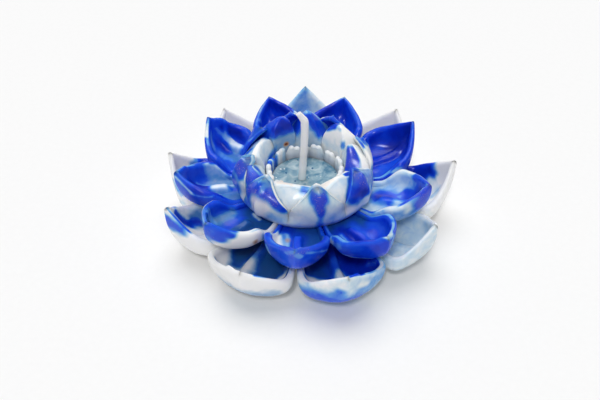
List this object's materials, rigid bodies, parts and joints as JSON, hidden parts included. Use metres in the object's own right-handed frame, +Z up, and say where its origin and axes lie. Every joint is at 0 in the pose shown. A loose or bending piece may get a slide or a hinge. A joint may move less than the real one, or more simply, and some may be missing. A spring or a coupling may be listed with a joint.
{
  "type": "lotus candle",
  "caption": "Lotus-shaped wax candle: rings of cupped, pointed petals round a bud whose cup holds stamens, a wax pool and an upright wick, marbled in blue and white.",
  "frame": {"origin": "on the table, under the middle of the foot, on the wick's axis", "axes": "+Z up along the wick, -Y to the front that the picture shows, +X to its right"},
  "size_m": [0.1006, 0.1006, 0.0464],
  "materials": {
    "base_wax": "satin cast wax",
    "pool_wax": "set candle wax, slightly clear",
    "stamen_wax": "satin cast wax",
    "wick_cotton": "braided cotton primed with wax",
    "tab_tinplate": "bright tinplate",
    "outer_wax": "satin cast wax, white with blue streaks",
    "middle_wax": "satin cast wax, royal blue with white streaks",
    "bud_wax": "satin cast wax, white with blue tips"
  },
  "bodies": {
    "root": {"wax_base": "base_wax", "wax_pool": "pool_wax", "stamen_ring": "stamen_wax", "wick": "wick_cotton", "wick_tab": "tab_tinplate", "outer_petal_1": "outer_wax", "outer_petal_2": "outer_wax", "outer_petal_3": "outer_wax", "outer_petal_4": "outer_wax", "outer_petal_5": "outer_wax", "outer_petal_6": "outer_wax", "outer_petal_7": "outer_wax", "outer_petal_8": "outer_wax", "outer_petal_9": "outer_wax", "middle_petal_1": "middle_wax", "middle_petal_2": "middle_wax", "middle_petal_3": "middle_wax", "middle_petal_4": "middle_wax", "middle_petal_5": "middle_wax", "middle_petal_6": "middle_wax", "middle_petal_7": "middle_wax", "middle_petal_8": "middle_wax", "middle_petal_9": "middle_wax", "bud_outer_petal_1": "bud_wax", "bud_outer_petal_2": "bud_wax", "bud_outer_petal_3": "bud_wax", "bud_outer_petal_4": "bud_wax", "bud_outer_petal_5": "bud_wax", "bud_outer_petal_6": "bud_wax", "bud_outer_petal_7": "bud_wax", "bud_outer_petal_8": "bud_wax", "bud_inner_petal_1": "bud_wax", "bud_inner_petal_2": "bud_wax", "bud_inner_petal_3": "bud_wax", "bud_inner_petal_4": "bud_wax", "bud_inner_petal_5": "bud_wax", "bud_inner_petal_6": "bud_wax", "bud_inner_petal_7": "bud_wax", "bud_inner_petal_8": "bud_wax"}
  },
  "joints": []
}
